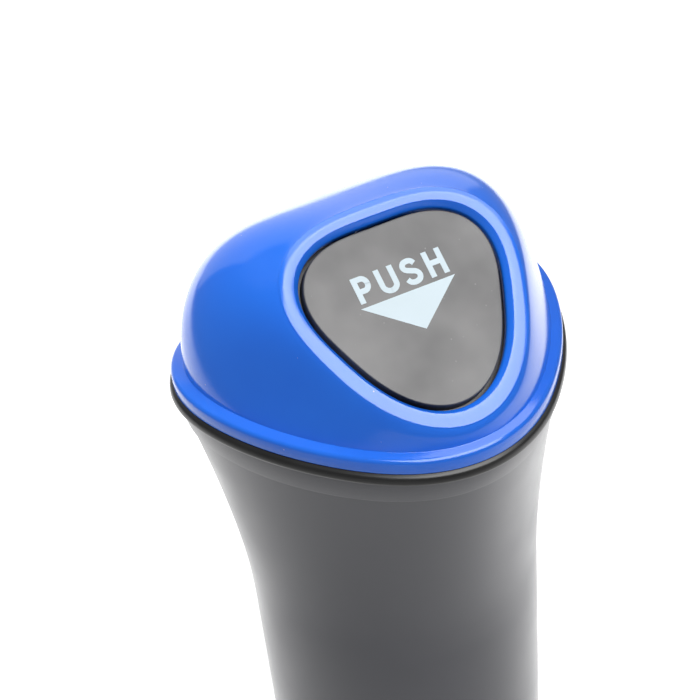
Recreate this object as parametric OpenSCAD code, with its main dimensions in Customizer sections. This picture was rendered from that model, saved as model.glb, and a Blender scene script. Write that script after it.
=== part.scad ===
// Car trash bin with a sprung push flap in a lift-off hood.
// Millimetres. Z is up, the front faces -Y, and the origin is the centre of the foot.
// Outlines are polar: an angle of 0 points to the front and 90 to +X.

/* [Bin] */
// Height of the seat that the hood stands on, above the foot
rim_z = 152; // [120:1:190]
// Radius of the straight tub at the foot
foot_r = 33; // [28:0.5:38]
// How much wider the straight tub is at its top than at its foot
taper_r = 5; // [2:0.5:8]
// Height of the flare, down from the seat
flare_h = 62; // [40:1:80]
// Height over which the three-cornered form fades to a circle
fade_h = 69; // [50:1:90]
// Thickness of the tub's wall
bin_wall = 1.8; // [1.2:0.1:3]
// Thickness of the tub's floor
bin_floor = 2.4; // [1.5:0.1:4]
// Radius of the rounded edge round the foot
foot_round = 2; // [1:0.5:4]
// Height of the collar below the ring
collar_h = 6.6; // [4:0.2:10]
// How far the collar stands out from the tub below it
collar_step = 0.45; // [0.2:0.05:1]

/* [Rim outline] */
// Mean radius of the rim's outline
rim_r = 45; // [42:0.5:50]
// How far the outline is pulled to the front
rim_nose = 4.95; // [2:0.05:7]
// How far the outline is squeezed from front to back
rim_squeeze = 2.05; // [0:0.05:3]
// How far the three corners swell
rim_lobe = 3.3; // [1:0.1:5]

/* [Ring] */
// Height of the black bead under the hood
bead_h = 3.2; // [2:0.1:5]
// How far the bead stands out beyond the hood's edge
bead_out = 0.8; // [0.3:0.1:1.5]
// Thickness of the ring's skirt
ring_wall = 1.4; // [1:0.1:2.5]
// Depth of the ring's skirt inside the mouth
ring_depth = 14; // [10:0.5:20]
// Gap between the ring's skirt and the tub
ring_gap = 0.3; // [0.2:0.05:0.6]

/* [Hood] */
// Thickness of the hood's shell
hood_wall = 1.8; // [1.4:0.1:2.4]
// Height of the upright edge of the flange
flange_h = 3; // [2:0.1:5]
// Width of the flange's top, in to the crease
flange_w = 3.7; // [2.5:0.1:5]
// Height of the crease between flange and dome, above the seat
crease_z = 5.1; // [4:0.1:7]
// Thickness of the skirt that plugs into the ring
plug_wall = 1.6; // [1:0.1:2.5]
// Depth of the plug below the seat
plug_depth = 8; // [5:0.5:12]
// Gap between the plug and the ring
plug_gap = 0.3; // [0.2:0.05:0.6]

/* [Flap and face] */
// Slope of the face from level
face_tilt = 36.1; // [32:0.1:40]
// Height of the face's centre above the seat
face_up = 26.2; // [24:0.2:30]
// Distance of the face's centre in front of the tub's axis
face_fwd = 23; // [21:0.2:25]
// Mean radius of the flap's outline
flap_r = 23.1; // [20:0.1:24]
// How far the flap's three corners swell
flap_lobe = 2.45; // [1:0.05:3.5]
// Gap round the flap
flap_gap = 0.9; // [0.8:0.05:1.6]
// Thickness of the flap's top
flap_top = 1.8; // [1.2:0.1:2.6]
// Thickness of the flap's skirt
flap_wall = 1.7; // [1.2:0.1:2.6]
// Width from the flap's edge to the outer edge of the face
band_w = 5.9; // [5:0.1:7]
// Height of the rolled band above the flap's top
band_h = 1.15; // [0.8:0.05:2]
// Depth of the aperture's lip below the flap's top
lip_depth = 2.9; // [2.2:0.1:3.5]
// How far the flap's stop reaches behind the lip
stop_w = 0.8; // [0.5:0.1:1.2]
// Thickness of the flap's stop
stop_t = 1.2; // [0.8:0.1:2]
// Gap between the stop and the lip
stop_gap = 0.3; // [0.2:0.05:0.5]

/* [Hinge] */
// Radius of the hinge pin
pin_r = 1; // [0.8:0.1:1.4]
// Running gap round the pin
pin_gap = 0.05; // [0.02:0.01:0.09]
// Thickness of the plastic round the pin
knuckle_wall = 1.15; // [0.9:0.05:1.4]
// Length of each knuckle on the flap
knuckle_l = 4.2; // [3:0.2:6]
// Distance from the middle of the flap to each knuckle's inner end
knuckle_x = 9.5; // [8:0.5:10]
// Thickness of each lug in the hood
lug_t = 3.2; // [2.4:0.2:4]
// Side gap between a knuckle and its lug
side_gap = 0.4; // [0.3:0.1:0.8]
// Distance of the pin beyond the flap's top edge
hinge_back = 2.3; // [2.3:0.1:2.8]

/* [Spring] */
// Thickness of the spring's wire
wire_d = 0.7; // [0.5:0.05:0.8]
// Number of turns in the spring
spring_turns = 5; // [4:1:6]
// Gap between the coil and the pin
coil_gap = 0.3; // [0.2:0.05:0.4]
// Length of the leg that lifts the flap
flap_leg = 9; // [7:0.5:12]

/* [Hidden] */

// Points round every moulded outline.
ROUND = 72;
STEP = 360 / ROUND;
ANGLES = [for (i = [0:ROUND - 1]) i * STEP];
// Fine waves of the rim's outline, from four to six round it.
RIM_FINE = [1, -0.55, 0.45];
// Fine waves of the flap's outline: two, four and six round it.
FLAP_FINE = [0.15, -0.4, 0.15];
FLARE_POWER = 1.6;
FADE_POWER = 1.27;
FLANGE_ROUND = 1;
// Handles of the dome's curve: mean, one wave and three waves round.
RISE = [0.388, -0.317, 0.187];
REACH = [0.157, 0.104, -0.011];
LEAN = [-0.059, -0.211];
TIP = [-0.853, 0.659];
// Width and height of the rolled band, from its outer edge in, as shares.
BAND_PROFILE = [[0.95, 0.58], [0.88, 0.8], [0.8, 0.94], [0.69, 1], [0.59, 0.98], [0.49, 0.88], [0.38, 0.7]];
// Height of the band's outer edge above the flap's top: mean and one wave round.
BAND_EDGE = [0.65, 0.2];
// Depth of the foot of the band's inner slope, below the flap's top.
SLOPE_FOOT = 0.7;
// How much wider the tub's mouth is than the rim's outline.
MOUTH_OVER = 0.2;
// Heights up the tub, as shares of the height of the collar's step.
TUB_STEPS = [0.2, 0.42, 0.56, 0.66, 0.74, 0.8, 0.85, 0.9, 0.95];
WIRE_SIDES = 8;
// Places along the dome's curve, from the crease to the face.
DOME_STEPS = [0.06, 0.15, 0.26, 0.38, 0.5, 0.62, 0.74, 0.86, 0.95];
SHELL_STEPS = [0.84, 0.68, 0.5, 0.32, 0.15];

flare_r = rim_r + MOUTH_OVER - foot_r - taper_r;
step_z = rim_z - bead_h - collar_h;
ring_out = bin_wall + ring_gap;
ring_in = ring_out + ring_wall;
plug_out = ring_in + plug_gap;
plug_in = plug_out + plug_wall;
lip_back = 0.75 * band_w;
stop_top = -lip_depth - stop_gap;
stop_low = stop_top - stop_t;
knuckle_r = pin_r + pin_gap + knuckle_wall;
flap_back = flap_out(180);
hinge_y = flap_back + hinge_back;
hinge_h = -lip_depth - stop_gap - knuckle_r;
lug_x = knuckle_x + knuckle_l + side_gap;
pin_l = 2 * (lug_x + lug_t + 0.4);
coil_r = pin_r + coil_gap + wire_d / 2;
coil_l = spring_turns * (wire_d + 0.2);
coil_steps = 12 * spring_turns + 3;
gusset_l = 11;
rest_low = hinge_h - coil_r + wire_d / 2 + 0.05;

// Distance of the rim's outline from the axis, and its lobes alone.
function rim_lobes(a) = rim_nose * cos(a) - rim_squeeze * cos(2 * a) + rim_lobe * cos(3 * a)
    + RIM_FINE[0] * cos(4 * a) + RIM_FINE[1] * cos(5 * a) + RIM_FINE[2] * cos(6 * a);
function rim_out(a) = rim_r + rim_lobes(a);

// Distance of the tub's outside from its axis, at a drop below the seat.
function left_of(drop, h, power) = pow(max(0, 1 - drop / h), power);
function tub_out(a, drop) = foot_r + taper_r * (1 - drop / rim_z)
    + flare_r * left_of(drop, flare_h, FLARE_POWER)
    + rim_lobes(a) * left_of(drop, fade_h, FADE_POWER);

// Distance of the flap's outline from its centre, in the plane of the face.
function flap_out(a) = flap_r + flap_lobe * cos(3 * a) + FLAP_FINE[0] * cos(2 * a)
    + FLAP_FINE[1] * cos(4 * a) + FLAP_FINE[2] * cos(6 * a);
function stop_out(a) = let (r = flap_out(a) + flap_gap + stop_w)
    cos(a) < -0.5 ? min(r, -(flap_back + 0.1) / cos(a)) : r;

function polar(a, r, z) = [r * sin(a), -r * cos(a), z];
function face_point(a, r, h) = let (x = r * sin(a), y = -r * cos(a)) [
    x,
    y * cos(face_tilt) - h * sin(face_tilt) - face_fwd,
    y * sin(face_tilt) + h * cos(face_tilt) + face_up + rim_z
];
function band_base(a) = wave(BAND_EDGE, a);
function flat_ring(inset, h) = [for (a = ANGLES) polar(a, flap_out(a) - inset, h)];
function band_ring(width, height) = [for (a = ANGLES) face_point(
    a,
    flap_out(a) + width * band_w,
    band_base(a) + height * (band_h - band_base(a))
)];
function face_ring(inset, h) = [for (a = ANGLES) face_point(a, flap_out(a) + inset, h)];

// The dome is a curve at each angle, from the crease up to the outer edge of the face.
function dome_foot(a) = polar(a, rim_out(a) - flange_w, rim_z + crease_z);
function dome_head(a) = face_point(a, flap_out(a) + band_w, band_base(a));
function wave(c, a) = c[0] + c[1] * cos(a) + (len(c) > 2 ? c[2] * cos(3 * a) : 0);
function dome_point(a, t) = let (
    p0 = dome_foot(a),
    p3 = dome_head(a),
    span = norm(p3 - p0),
    p1 = p0 + span * wave(RISE, a) * (polar(a, wave(LEAN, a), 1)),
    p2 = p3 + span * wave(REACH, a) * (face_point(a, 1, wave(TIP, a)) - face_point(a, 0, 0))
) pow(1 - t, 3) * p0 + 3 * t * pow(1 - t, 2) * p1 + 3 * t * t * (1 - t) * p2 + pow(t, 3) * p3;
function dome_normal(a, t) = let (
    n = cross(dome_point(a + 1, t) - dome_point(a - 1, t),
        dome_point(a, t + 0.02) - dome_point(a, t - 0.02))
) n / norm(n);
function dome_ring(t, depth) = [for (a = ANGLES) dome_point(a, t) - depth * dome_normal(a, t)];

// Rings of the tub, the ring and the hood, at a height and an inset.
function tub_ring(inset, z) = [for (a = ANGLES) polar(a, tub_out(a, rim_z - z) - inset, z)];
function rim_ring_at(inset, z) = [for (a = ANGLES) polar(a, rim_out(a) - inset, rim_z + z)];

// Joins rings of points into one skin. Closed rings wrap; open ones get flat ends.
function skin_faces(count, wraps) = [
    for (i = [0:count - (wraps ? 1 : 2)], j = [0:ROUND - 1], half = [0, 1]) let (
        k = (j + 1) % ROUND,
        low = i * ROUND,
        high = ((i + 1) % count) * ROUND
    ) half == 0 ? [low + j, high + k, low + k] : [low + j, high + j, high + k]
];
function flat_mean(ring) = [for (axis = [0:2]) [for (p = ring) p[axis]] * [for (p = ring) 1 / ROUND]];

module ring_skin(rings) {
    polyhedron(points = [for (ring = rings) each ring], faces = skin_faces(len(rings), true));
}

module cup_skin(rings) {
    last = (len(rings) - 1) * ROUND;
    count = len(rings) * ROUND;
    ends = [
        for (j = [0:ROUND - 1], end = [0, 1]) let (k = (j + 1) % ROUND)
            end == 0 ? [count, j, k] : [count + 1, last + k, last + j]
    ];
    points = concat([for (ring = rings) each ring],
        [flat_mean(rings[0]), flat_mean(rings[len(rings) - 1])]);
    polyhedron(points = points, faces = concat(skin_faces(len(rings), false), ends));
}

// Places its children in the frame of the sloping face.
module on_face() {
    translate([0, -face_fwd, rim_z + face_up]) rotate([face_tilt, 0, 0]) children();
}

module on_pin() {
    on_face() translate([0, hinge_y, hinge_h]) rotate([0, 90, 0]) children();
}

module face_profile(x, thickness) {
    translate([x - thickness / 2, 0, 0]) rotate([90, 0, 90]) linear_extrude(thickness) children();
}

// The tub: one shell with a flared three-cornered mouth and a round foot.
module bin_body() {
    color([0.33, 0.33, 0.35]) cup_skin(concat(
        [
            tub_ring(foot_round, 0),
            tub_ring(foot_round * 0.3, foot_round * 0.3),
            tub_ring(0, foot_round)
        ],
        [for (share = TUB_STEPS) tub_ring(0, share * step_z)],
        [
            tub_ring(0, step_z),
            tub_ring(-collar_step, step_z + 0.3),
            tub_ring(-collar_step, rim_z - bead_h),
            tub_ring(bin_wall, rim_z - bead_h),
            tub_ring(bin_wall, step_z)
        ],
        [for (i = [len(TUB_STEPS) - 1:-1:0]) tub_ring(bin_wall, TUB_STEPS[i] * step_z)],
        [
            tub_ring(bin_wall, bin_floor + foot_round),
            tub_ring(bin_wall + foot_round * 0.3, bin_floor + foot_round * 0.3),
            tub_ring(bin_wall + foot_round, bin_floor)
        ]
    ));
}

// The ring: a bead that sits on the tub's mouth and a skirt that grips a liner.
module rim_ring() {
    color([0.1, 0.1, 0.1]) ring_skin([
        rim_ring_at(-0.1, -bead_h),
        rim_ring_at(-bead_out * 0.8, -bead_h * 0.86),
        rim_ring_at(-bead_out, -bead_h * 0.6),
        rim_ring_at(-bead_out * 0.7, -bead_h * 0.25),
        rim_ring_at(0.2, -bead_h * 0.06),
        rim_ring_at(0.5, 0),
        tub_ring(ring_in, rim_z),
        tub_ring(ring_in, rim_z - ring_depth / 2),
        tub_ring(ring_in, rim_z - ring_depth),
        tub_ring(ring_out, rim_z - ring_depth),
        tub_ring(ring_out, rim_z - ring_depth / 2),
        tub_ring(ring_out, rim_z - bead_h)
    ]);
}

// The hood: flange, dome, rolled band round the aperture, inner wall and plug.
module hood_shell() {
    ring_skin(concat(
        [
            rim_ring_at(0, 0),
            rim_ring_at(0, flange_h),
            rim_ring_at(FLANGE_ROUND * 0.3, flange_h + FLANGE_ROUND * 0.7),
            rim_ring_at(FLANGE_ROUND, flange_h + FLANGE_ROUND),
            dome_ring(0, 0)
        ],
        [for (t = DOME_STEPS) dome_ring(t, 0)],
        [dome_ring(1, 0)],
        [for (share = BAND_PROFILE) band_ring(share[0], share[1])],
        [
            face_ring(flap_gap, -SLOPE_FOOT),
            face_ring(flap_gap, -lip_depth),
            face_ring(lip_back, -lip_depth)
        ],
        [for (t = SHELL_STEPS) dome_ring(t, hood_wall)],
        [
            tub_ring(plug_in, rim_z),
            tub_ring(plug_in, rim_z - plug_depth),
            tub_ring(plug_in - 0.4 * plug_wall, rim_z - plug_depth),
            tub_ring(plug_out, rim_z - plug_depth + 0.6 * plug_wall),
            tub_ring(plug_out, rim_z)
        ]
    ));
}

module hood() {
    color([0.04, 0.24, 0.85]) difference() {
        union() {
            hood_shell();
            for (side = [-1, 1]) on_face() {
                translate([side * (lug_x + lug_t / 2), hinge_y, hinge_h]) rotate([0, 90, 0])
                    cylinder(h = lug_t, r = knuckle_r, center = true, $fn = 40);
                face_profile(side * (lug_x + lug_t / 2), lug_t) polygon([
                    [hinge_y - knuckle_r + 0.1, hinge_h],
                    [hinge_y + knuckle_r, hinge_h],
                    [hinge_y + knuckle_r, -lip_depth + 0.4],
                    [hinge_y - knuckle_r + 0.1, -lip_depth + 0.4]
                ]);
            }
        }
        on_pin() cylinder(h = pin_l + 2, r = pin_r + pin_gap, center = true, $fn = 40);
    }
}

// The flap: a shallow tray with a stop round its back, knuckles, gussets and a spring rest.
module flap_tray() {
    cup_skin([
        flat_ring(flap_wall, -flap_top),
        flat_ring(flap_wall, stop_low),
        [for (a = ANGLES) polar(a, stop_out(a), stop_low)],
        [for (a = ANGLES) polar(a, stop_out(a), stop_top)],
        flat_ring(0, stop_top),
        flat_ring(0, -0.6),
        flat_ring(0.18, -0.18),
        flat_ring(0.6, 0)
    ]);
}

module flap_knuckle(side) {
    middle = side * (knuckle_x + knuckle_l / 2);
    translate([middle, hinge_y, hinge_h]) rotate([0, 90, 0])
        cylinder(h = knuckle_l, r = knuckle_r, center = true, $fn = 40);
    face_profile(middle, knuckle_l) polygon([
        [flap_back - flap_wall - 0.5, hinge_h - pin_r],
        [hinge_y, hinge_h - knuckle_r + 0.2],
        [hinge_y, stop_low + 0.2],
        [flap_back - flap_wall - 0.5, stop_low + 0.2]
    ]);
    face_profile(middle, flap_wall) polygon([
        [flap_back - gusset_l, -flap_top + 0.2],
        [flap_back - flap_wall, hinge_h - pin_r],
        [flap_back - flap_wall, -flap_top + 0.2]
    ]);
}

module push_flap() {
    color([0.3, 0.3, 0.31]) on_face() difference() {
        union() {
            flap_tray();
            for (side = [-1, 1]) flap_knuckle(side);
            face_profile(-coil_l / 2, 2 * flap_wall) polygon([
                [flap_back - flap_leg + 1, rest_low],
                [flap_back - flap_wall + 0.2, rest_low],
                [flap_back - flap_wall + 0.2, -flap_top + 0.2],
                [flap_back - flap_leg - 1, -flap_top + 0.2]
            ]);
        }
        translate([0, hinge_y, hinge_h]) rotate([0, 90, 0])
            cylinder(h = pin_l, r = pin_r + pin_gap, center = true, $fn = 40);
    }
}

// The pin, with a small chamfer at each end.
module hinge_pin() {
    end = pin_l / 2;
    bevel = pin_r / 4;
    color([0.75, 0.75, 0.77]) on_pin() rotate_extrude($fn = 40) polygon([
        [0, -end],
        [pin_r - bevel, -end],
        [pin_r, -end + bevel],
        [pin_r, end - bevel],
        [pin_r - bevel, end],
        [0, end]
    ]);
}

// The spring: a coil round the pin, one leg under the flap and one against the hood.
function coil_point(turn) = let (a = 360 * turn - 90, s = turn / (spring_turns + 0.25)) [
    coil_l * (s - 0.5),
    hinge_y + coil_r * cos(a),
    hinge_h + coil_r * sin(a)
];
function spring_path() = concat(
    [[-coil_l / 2, hinge_y - flap_leg, hinge_h - coil_r]],
    [for (i = [0:coil_steps]) coil_point(i * (spring_turns + 0.25) / coil_steps)],
    [[coil_l / 2, hinge_y + coil_r, -lip_depth - wire_d / 2 - 0.1]]
);
function wire_ring(path, i) = let (
    along = path[min(i + 1, len(path) - 1)] - path[max(i - 1, 0)],
    out = cross(along, [1, 0, 0]),
    n = out / norm(out),
    m = cross(along, n) / norm(cross(along, n))
) [for (k = [0:WIRE_SIDES - 1]) let (a = 360 * k / WIRE_SIDES)
    path[i] + wire_d / 2 * (cos(a) * n + sin(a) * m)];

module return_spring() {
    path = spring_path();
    last = (len(path) - 1) * WIRE_SIDES;
    sides = [
        for (i = [0:len(path) - 2], j = [0:WIRE_SIDES - 1], half = [0, 1]) let (
            k = (j + 1) % WIRE_SIDES,
            low = i * WIRE_SIDES,
            high = low + WIRE_SIDES
        ) half == 0 ? [low + j, high + k, low + k] : [low + j, high + j, high + k]
    ];
    ends = [
        [for (j = [0:WIRE_SIDES - 1]) j],
        [for (j = [0:WIRE_SIDES - 1]) last + WIRE_SIDES - 1 - j]
    ];
    color([0.7, 0.7, 0.72]) on_face() polyhedron(
        points = [for (i = [0:len(path) - 1]) each wire_ring(path, i)],
        faces = concat(sides, ends)
    );
}

bin_body();
rim_ring();
hood();
push_flap();
hinge_pin();
return_spring();
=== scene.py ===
"""Looks of a car trash bin: a glossy hood with a sprung push flap on a dark flared tub.

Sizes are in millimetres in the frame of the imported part, and become metres when a mesh is made.
Outlines are polar: an angle of 0 points to the front, -Y, and 90 degrees to +X.
"""

from __future__ import annotations

import logging
import math
from collections.abc import Iterator
from contextlib import contextmanager
from dataclasses import dataclass, field
from enum import Enum

import bmesh
import bpy
import numpy as np
from mathutils import Matrix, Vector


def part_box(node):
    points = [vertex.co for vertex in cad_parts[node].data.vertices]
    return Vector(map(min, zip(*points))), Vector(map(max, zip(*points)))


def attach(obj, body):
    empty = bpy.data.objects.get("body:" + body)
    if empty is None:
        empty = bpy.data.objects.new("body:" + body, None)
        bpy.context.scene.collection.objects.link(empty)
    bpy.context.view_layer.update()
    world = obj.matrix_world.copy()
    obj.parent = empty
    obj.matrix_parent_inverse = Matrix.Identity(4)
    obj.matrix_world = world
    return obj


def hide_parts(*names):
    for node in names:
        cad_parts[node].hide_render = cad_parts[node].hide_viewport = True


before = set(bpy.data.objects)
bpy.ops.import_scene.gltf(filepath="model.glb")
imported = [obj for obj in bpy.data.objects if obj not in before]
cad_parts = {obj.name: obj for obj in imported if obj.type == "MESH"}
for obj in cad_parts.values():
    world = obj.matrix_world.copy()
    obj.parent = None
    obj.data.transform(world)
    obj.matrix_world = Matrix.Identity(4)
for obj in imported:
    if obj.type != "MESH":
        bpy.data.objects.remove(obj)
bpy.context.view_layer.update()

LOG = logging.getLogger("car_bin")
MM = 0.001
ROUND = 288
PICTURE = 700
SENSOR = 36.0
PLASTIC_IOR = 1.5
WHITE = (1.0, 1.0, 1.0, 1.0)
# Places of a Mix node's two inputs and its output
COLOUR_MIX = (6, 7, 2)
NUMBER_MIX = (2, 3, 0)
# Distance in metres within which two vertices are one
WELD = 1e-7
# Least length that anything is divided by
TINY = 1e-9
# Angle in degrees above which an edge of a flat-sided piece stays sharp
FLAT_SHARP = 30.0
UP = np.array([0.0, 0.0, 1.0])
QUARTER = np.linspace(0.0, math.pi / 2, 8)

Array = np.ndarray
Point = tuple[float, float]
Place = tuple[float, float, float]
Colour = tuple[float, float, float]
# Distance from an edge at which its rounding starts, and the number of points across it
Rounding = tuple[float, int]
Piece = bpy.types.Object
Faces = list[tuple[int, ...]]
Node = bpy.types.Node
Socket = bpy.types.NodeSocket
Tree = bpy.types.NodeTree


class Body(str, Enum):
    """Names of the bodies that pieces ride on."""

    BIN = "bin"
    HOOD = "hood"
    FLAP = "flap"


class Stuff(Enum):
    """What a surface is made of, as the shader's metallic value."""

    PLASTIC = 0.0
    METAL = 1.0


class Role(Enum):
    """What a studio lamp is for."""

    LIGHT = "plain light"
    GLOSS = "highlights only"


# Geometry helpers


def angles() -> Array:
    """Return the angles, in radians, of every column round an outline."""
    return np.linspace(0.0, 2.0 * math.pi, ROUND, endpoint=False)


def waves(angle: Array, mean: float, *swells: float) -> Array:
    """Return a mean with whole cosine waves added.

    Args:
        angle: Angles in radians.
        mean: The mean value.
        swells: Height of one wave round, two waves round, and so on.

    Returns:
        The value at each angle.
    """
    total = np.full_like(angle, mean)
    for count, swell in enumerate(swells, start=1):
        total += swell * np.cos(count * angle)
    return total


def lengths(rows: Array) -> Array:
    """Return the length of each row, as a column."""
    return np.linalg.norm(rows, axis=-1, keepdims=True)


def level(angle: Array, radius: Array, z: float | Array) -> Array:
    """Return points of a ring from its angles, radii and heights."""
    heights = np.broadcast_to(z, angle.shape)
    return np.stack([radius * np.sin(angle), -radius * np.cos(angle), heights], axis=1)


@dataclass(frozen=True)
class Ring:
    """A closed ring of points, and how far its edge is rounded off.

    Args:
        points: One point for each column, in millimetres.
        soften: Distance from the edge at which its rounding starts.
        steps: Number of points across the rounding.
    """

    points: Array
    soften: float = 0.0
    steps: int = 5


# Roundings that many edges share
CRISP: Rounding = (0.2, 3)
BLUNT: Rounding = (0.4, 3)
SOFT: Rounding = (0.4, 4)
EVEN: Rounding = (0.4, 5)
# Share of the way to the next ring that a rounding may take
FAR_ENOUGH = 0.45


def rounded(rings: list[Ring], wraps: bool) -> list[Array]:
    """Round the edges between rings.

    Args:
        rings: The rings in order.
        wraps: Whether the last ring joins the first.

    Returns:
        Plain rings, with more of them where an edge is rounded.
    """
    result: list[Array] = []
    count = len(rings)
    for index, ring in enumerate(rings):
        inner = wraps or 0 < index < count - 1
        if ring.soften <= 0.0 or not inner:
            result.append(ring.points)
            continue
        corner = ring.points
        back = towards(corner, rings[(index - 1) % count].points, ring.soften)
        ahead = towards(corner, rings[(index + 1) % count].points, ring.soften)
        for share in np.linspace(0.0, 1.0, ring.steps):
            result.append((1 - share) ** 2 * back + 2 * share * (1 - share) * corner + share**2 * ahead)
    return result


def towards(start: Array, end: Array, distance: float) -> Array:
    """Return points a distance from start towards end, or less where the way is short."""
    gap = end - start
    return start + gap * np.minimum(distance / np.maximum(lengths(gap), TINY), FAR_ENOUGH)


def flowing(rings: list[Array], steps: int) -> list[Array]:
    """Draw a smooth curve through rings, column by column.

    Args:
        rings: The rings that the curve passes through.
        steps: Number of rings made for each span.

    Returns:
        The rings of the curve, both ends included.
    """
    result: list[Array] = []
    last = len(rings) - 1
    for index in range(last):
        p0, p1, p2, p3 = (rings[min(max(index + k, 0), last)] for k in (-1, 0, 1, 2))
        for step in range(steps):
            t = step / steps
            square = (2 * p0 - 5 * p1 + 4 * p2 - p3) * t**2
            cube = (3 * p1 - p0 - 3 * p2 + p3) * t**3
            result.append(0.5 * (2 * p1 + (p2 - p0) * t + square + cube))
    result.append(rings[-1])
    return result


def skin(name: str, rings: list[Array], wraps: bool, sharp: float = 40.0) -> Piece:
    """Join rings into one closed mesh object.

    Args:
        name: Name of the object.
        rings: Rings of equal length, in millimetres.
        wraps: Whether the last ring joins the first. If not, both ends are capped.
        sharp: Angle in degrees above which an edge stays sharp.

    Returns:
        The new object.
    """
    count, around = len(rings), len(rings[0])
    points = np.concatenate(rings) * MM
    faces: Faces = []
    for i in range(count if wraps else count - 1):
        low, high = i * around, ((i + 1) % count) * around
        for j in range(around):
            k = (j + 1) % around
            faces.append((low + j, low + k, high + k, high + j))
    if not wraps:
        ends = np.stack([rings[0].mean(axis=0), rings[-1].mean(axis=0)]) * MM
        points = np.concatenate([points, ends])
        last = (count - 1) * around
        for j in range(around):
            k = (j + 1) % around
            faces.append((count * around, k, j))
            faces.append((count * around + 1, last + j, last + k))
    return mesh_object(name, points, faces, sharp)


def mesh_object(name: str, points: Array, faces: Faces, sharp: float) -> Piece:
    """Make a smooth-shaded mesh object.

    Args:
        name: Name of the object.
        points: Vertices in metres.
        faces: Vertex numbers of each face.
        sharp: Angle in degrees above which an edge stays sharp.

    Returns:
        The new object.
    """
    mesh = bpy.data.meshes.new(name)
    mesh.from_pydata([tuple(p) for p in points], [], faces)
    mesh.shade_smooth()
    mesh.set_sharp_from_angle(angle=math.radians(sharp))
    mesh.validate()
    piece = bpy.data.objects.new(name, mesh)
    bpy.context.scene.collection.objects.link(piece)
    return piece


@contextmanager
def opened(piece: Piece) -> Iterator[bmesh.types.BMesh]:
    """Open a piece's mesh for editing, and write it back afterwards.

    Args:
        piece: The mesh object.

    Yields:
        Its mesh.
    """
    whole = bmesh.new()
    whole.from_mesh(piece.data)
    yield whole
    whole.to_mesh(piece.data)
    whole.free()


def join(name: str, parts: list[Piece]) -> Piece:
    """Join objects into the first one.

    Args:
        name: Name of the joined object.
        parts: The objects.

    Returns:
        The joined object.
    """
    target, *others = parts
    with opened(target) as whole:
        for part in others:
            whole.from_mesh(part.data)
    for part in others:
        bpy.data.objects.remove(part, do_unlink=True)
    target.name = name
    target.data.name = name
    return target


def outward(piece: Piece) -> Piece:
    """Turn a closed mesh's faces outwards.

    Args:
        piece: The mesh object.

    Returns:
        The same object.
    """
    with opened(piece) as whole:
        bmesh.ops.remove_doubles(whole, verts=whole.verts, dist=WELD)
        bmesh.ops.recalc_face_normals(whole, faces=whole.faces)
    return piece


def pose(right: Array, up: Array, back: Array, place: Array | Place) -> Matrix:
    """Return a matrix from its three axes and a place in metres."""
    turn = Matrix(np.column_stack([right, up, back]).tolist())
    return Matrix.Translation(place) @ turn.to_4x4()


# Forms shared by the pieces


@dataclass(frozen=True)
class TubForm:
    """The flared tub and the outline of its rim.

    Args:
        rim_z: Height of the hood's seat.
        foot_r: Radius of the round foot.
        taper_r: Growth of the radius up to the seat.
        flare_r: Growth that the flare adds.
        flare_h: Height of the flare.
        fade_h: Height over which the corners fade.
        flare_power: How late the flare sets in.
        fade_power: How late the corners set in.
        rim_r: Mean radius of the rim.
        lobes: Waves round the rim that make its corners.
    """

    rim_z: float
    foot_r: float = 33.0
    taper_r: float = 5.0
    flare_r: float = 7.2
    flare_h: float = 62.0
    fade_h: float = 69.0
    flare_power: float = 1.6
    fade_power: float = 1.27
    rim_r: float = 45.0
    lobes: tuple[float, ...] = (4.95, -2.05, 3.3, 1.0, -0.55, 0.45)

    def rim(self, angle: Array) -> Array:
        """Return the rim's distance from the axis at each angle."""
        return waves(angle, self.rim_r, *self.lobes)

    def tub(self, angle: Array, drop: float) -> Array:
        """Return the tub's outer radius.

        Args:
            angle: Angles in radians.
            drop: Depth below the seat.

        Returns:
            The radius at each angle.
        """
        flare = max(0.0, 1.0 - drop / self.flare_h) ** self.flare_power
        fade = max(0.0, 1.0 - drop / self.fade_h) ** self.fade_power
        straight = self.foot_r + self.taper_r * (1.0 - drop / self.rim_z)
        return straight + self.flare_r * flare + fade * waves(angle, 0.0, *self.lobes)

    def tub_ring(self, inset: float, z: float) -> Array:
        """Return a level ring of the tub at a height, moved inwards by an inset."""
        angle = angles()
        return level(angle, self.tub(angle, self.rim_z - z) - inset, z)

    def rim_ring(self, inset: float, above: float) -> Array:
        """Return a level ring of the rim's outline, above or below the seat."""
        angle = angles()
        return level(angle, self.rim(angle) - inset, self.rim_z + above)


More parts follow.
